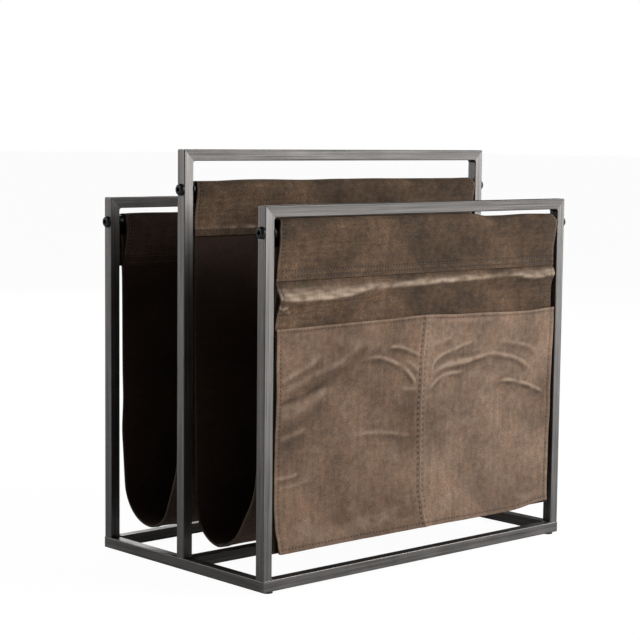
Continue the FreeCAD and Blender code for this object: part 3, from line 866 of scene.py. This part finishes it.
def band_shape(across, along):
    """From the foot up: flat behind the panels, dark under the roll, then a painted highlight along
    the roll and up into the sleeve.
    """
    z = band_foot + along * (band_top - band_foot) / band_long
    over = z - roll_height(across)
    reach = 8.5 if over > 0 else 6.5
    roll = roll_size(across) * math.exp(-abs(over / reach) ** 1.35)
    roll *= 1 - ease(z, 261.5, 264.5)
    slack = 0.7 * noise.noise(Vector((across / 26, z / 8, 4))) * (1 - ease(z, 256, 263))
    slack *= ease(z, 226, 234)
    side = -1 if across < 0 else 1
    edge = band_wide / 2 - abs(across)
    drawn = 3.4 * hump(z, 242, 11) if side < 0 else 0.5
    x = across - side * (drawn - 1.2) * math.exp(-edge / 14)
    row = hump(edge, edge_row, row_half)
    y = band_middle - roll - max(slack, -0.3) * 1.1 + 0.2 * row
    # A patchy painted highlight along the roll, reaching roll_glow above its crest; stitch rows darkened as
    # painted shade.
    lit = math.exp(-(over / roll_glow(across)) ** 2) if over > 0 else hump(over, 0, 1.5)
    patch = 0.85 + 1.0 * noise.noise(Vector((across / 13, z / 3, 8)))
    rise, rub_and_light = band_creases(across, z)
    return Vector((x, y - rise, z)), roll_highlight(across) * lit * patch + rub_and_light - 0.15 * row


band = lay_hide("apron_leather_band", band_wide, band_long, band_step, band_shape, apron_thick,
                (band_face, sleeve_back, cut_edge))
band_row = band_wide / 2 - edge_row
band_sides = [[(side * band_row, band_row_low), (side * band_row, band_row_high)] for side in (-1, 1)]
band_threads = sew("band_stitches", band_shape, band_sides, apron_thick / 2 - thread_sink, "apron")
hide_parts("apron_band")
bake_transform(band)

panel_wide, panel_long, panel_low, panel_high = 175, 193, 31, 224
panel_middle, panel_step, seam_lap = -111.6, 1.25, 0.4
seam_row_gap, side_row, hem_row, top_row_gap = 3.3, 4.6, 3.6, 3.0
seam_stitches, seam_girth = 37, 1.5
seam_step = (panel_long - top_row_gap - hem_row) / seam_stitches
seam_line = through((31, 6), (49, 1.7), (69, -2.7), (131, -3.4), (174, -1.6), (224, 2.8))
left_edge = through((31, -172.0), (38, -173.2), (52, -176), (70, -177), (130, -177), (147, -176.2),
                    (178, -175.8), (205, -175.4), (218, -175.4), (224, -176))
right_edge = through((31, 172.0), (60, 173.3), (120, 175.5), (200, 177.3), (224, 178.2))
bottom_edge = through((-177, 33.5), (-168, 31.4), (120, 31), (174, 35.7))
top_edge = through((-177, 223.8), (-49, 224.9), (0, 226), (54, 224), (141, 222), (180, 223.5))

left_creases = crease_field([
    (1.1, 1.25, [(-44, 201), (-29, 199), (-15, 194.5), (-4, 190)]),
    (1.3, 1.35, [(-78, 192), (-57, 192), (-45, 189), (-31, 183), (-21, 177), (-13, 169), (-9, 162)]),
    (0.6, 1.4, [(-24, 187), (-13, 181), (-6, 176)]),
    (0.6, 1.7, [(-27, 161.5), (-8, 160)]),
    (0.85, 3.2, [(-176, 168), (-155, 175), (-135, 182), (-108, 189), (-86, 200), (-76, 212)]),
    (0.65, 2.2, [(-174, 178), (-158, 184), (-140, 190), (-124, 200)]),
    (0.6, 3.4, [(-174, 146), (-155, 151), (-135, 158), (-118, 168)]),
    (-0.65, 2.2, [(-174, 160), (-156, 163), (-136, 168), (-118, 176)]),
    (0.6, 2.6, [(-173, 130), (-159, 133), (-143, 137)]),
    (0.75, 1.4, [(-175, 97), (-163, 97), (-149, 99)]),
    (0.45, 1.4, [(-175, 88), (-155, 89), (-136, 92)]),
    (0.6, 1.6, [(-88, 126), (-57, 125), (-35, 122), (-15, 118)]),
    (0.4, 4.0, [(-120, 215), (-95, 208), (-70, 204), (-50, 203)]),
    (-0.4, 4.0, [(-84, 72), (-74, 62), (-62, 54)]),
    (-0.5, 5.0, [(-150, 64), (-110, 52), (-60, 58), (-30, 66)]),
])
right_creases = crease_field([
    (1.3, 1.3, [(10, 174), (12.5, 181), (19, 186.4), (30, 190), (42, 193), (54, 196), (70, 199)]),
    (1.4, 1.5, [(8, 168), (16, 174), (26, 177), (40, 178.6), (54, 179.6), (66, 182), (82, 184.6),
                (96, 184), (110, 182), (122, 179), (132, 175), (142, 168), (151, 160)]),
    (0.9, 1.4, [(7, 157), (14, 164), (24, 168.4), (38, 170.8), (56, 171)]),
    (0.6, 1.7, [(98, 198), (120, 193), (140, 189), (154, 183)]),
    (1.1, 1.3, [(94, 158), (120, 157.5), (134, 153.6), (150, 148.4), (166, 143.5)]),
    (0.6, 1.8, [(12, 198), (22, 200.5), (38, 205)]),
    (0.4, 3.5, [(60, 168), (85, 163), (110, 164)]),
    (0.35, 2.0, [(28, 218.6), (66, 217.6), (96, 216)]),
    (0.4, 3.0, [(10, 120), (40, 124), (62, 121)]),
    (-0.6, 2.8, [(16, 179.5), (32, 183.5), (50, 186), (66, 188.5)]),
    (-0.45, 2.6, [(14, 166), (30, 172), (50, 174)]),
])


def panel_shape(seam_side, creases):
    """One panel of the apron. seam_side is 1 for the left panel, whose seam is its right edge, and -1
    for the right one."""
    def shape(across, along):
        part = across / panel_wide + 0.5
        up = along / panel_long
        z = panel_low + (panel_high - panel_low) * up
        seam = seam_line(z) + seam_side * seam_lap
        left, right = (left_edge(z), seam) if seam_side > 0 else (seam, right_edge(z))
        x = left + (right - left) * part
        z = bottom_edge(x) + (top_edge(x) - bottom_edge(x)) * up
        from_seam = abs(x - seam)
        edge = abs(x - (left if seam_side > 0 else right))
        top, foot = top_edge(x) - z, z - bottom_edge(x)
        rise, rub_and_light = creases(x, z)
        sag = 1.3 * noise.noise(Vector((x / 75, z / 60, 2))) + 0.5 * noise.noise(Vector((x / 22, z / 30, 6)))
        vein = max(0, 1 - 6 * abs(noise.noise(Vector((x / 34, z / 9, 5))))) ** 2
        vein *= ease(noise.noise(Vector((x / 40, z / 40, 9))), -0.05, 0.35)
        rub_and_light += 0.22 * vein
        out = (rise + sag + 0.25 * vein) * ease(top, 2, 16) * ease(from_seam, 1, 9)
        ridge = 0.65 * hump(from_seam, 0, 3.0)
        seam_row = hump(from_seam, seam_row_gap, 0.9)
        edge_rows = hump(edge, side_row, row_half) + hump(foot, hem_row, row_half)
        top_row = hump(top, top_row_gap, 1.0)
        hem = 0.35 * (hump(edge, 1.5, 2) + hump(foot, 1.5, 2)) + 0.45 * hump(top, 1.0, 1.8)
        hole = 0.5 + 0.5 * math.cos(2 * math.pi * (along - hem_row) / seam_step)
        out += ridge + hem - (0.2 + 0.4 * hole) * seam_row - 0.3 * edge_rows - 0.3 * top_row
        out += 0.25 * (1 - hole) * hump(from_seam, seam_row_gap + 1.8, 1.4)
        out += 0.1 * seam_side * hump(from_seam, 0, 1.5)
        curl = 1.2 * hump(foot, 0, 14) * hump(edge, 0, 20)
        # Painted highlight on the seam ridge, along the top edge, the side edges and beside the seam;
        # painted shade in the stitch rows and, along the seam, in its needle holes.
        rub_and_light += 0.3 * ridge - (0.9 * hole - 0.1) * seam_row - 0.4 * edge_rows - 0.45 * top_row
        rub_and_light += 0.5 * hump(top, 0.4, 1.1)
        rub_and_light += 0.14 * hump(edge, 1.0, 1.4) + 0.14 * hump(from_seam, seam_row_gap + 2.6, 1.6)
        return Vector((x, panel_middle - out - curl, z)), rub_and_light
    return shape


for label, seam_side, creases, face in (("left", 1, left_creases, left_face),
                                        ("right", -1, right_creases, right_face)):
    shape = panel_shape(seam_side, creases)
    panel = lay_hide(f"apron_leather_{label}_panel", panel_wide, panel_long, panel_step, shape, apron_thick,
                     (face, sleeve_back, cut_edge))
    outer = -seam_side * (panel_wide / 2 - side_row)
    inner = seam_side * (panel_wide / 2 - seam_row_gap)
    first, last = sorted((outer, inner))
    top_row = panel_long - top_row_gap
    rows = [[(outer, hem_row), (outer, top_row)],
            [(first, hem_row), (last, hem_row)],
            [(first, top_row), (last, top_row)]]
    threads = sew(f"{label}_panel_stitches", shape, rows, apron_thick / 2 - thread_sink, "apron")
    seam_threads = sew(f"{label}_seam_stitches", shape, [[(inner, hem_row), (inner, top_row)]],
                       apron_thick / 2, "apron", seam_step, seam_girth, pale_thread)
    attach(panel, "apron")
    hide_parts(f"apron_{label}_panel")


# ---- Apron lining
# A plain hide behind the two panels, coloured near black as painted shade, cut a little wider than
# they are at the foot, so its straight edge shows beside their curved ones. It is caught in the
# panels' side rows.

# The lining's near-black colour is painted shade.
lining_face = nubuck("nubuck_lining_painted_shade", (0.02, 0.013, 0.009), crest_wear_and_highlight, nap_down, sheen=0.0)
lining_wide, lining_long, lining_low = 350, 184, 32.5
lining_middle, lining_step = -109.7, 3.0


def lining_shape(across, along):
    """Hangs straight, with the gentlest swell."""
    side = -1 if across < 0 else 1
    edge = lining_wide / 2 - abs(across)
    z = lining_low + along
    slack = 0.25 * noise.noise(Vector((across / 60, z / 80, 12)))
    x = across + side * 1.6 * math.exp(-edge / 20) * (1 - ease(z, 150, 215) * 1.8)
    # The edge line is a faint painted highlight.
    return Vector((x, lining_middle + slack * ease(edge, 0, 15), z)), 0.1 * hump(edge, 0.5, 1.2)


lining = lay_hide("apron_leather_lining", lining_wide, lining_long, lining_step, lining_shape, apron_thick,
                  (lining_face, lining_face, cut_edge))
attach(lining, "apron")
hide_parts("apron_lining")
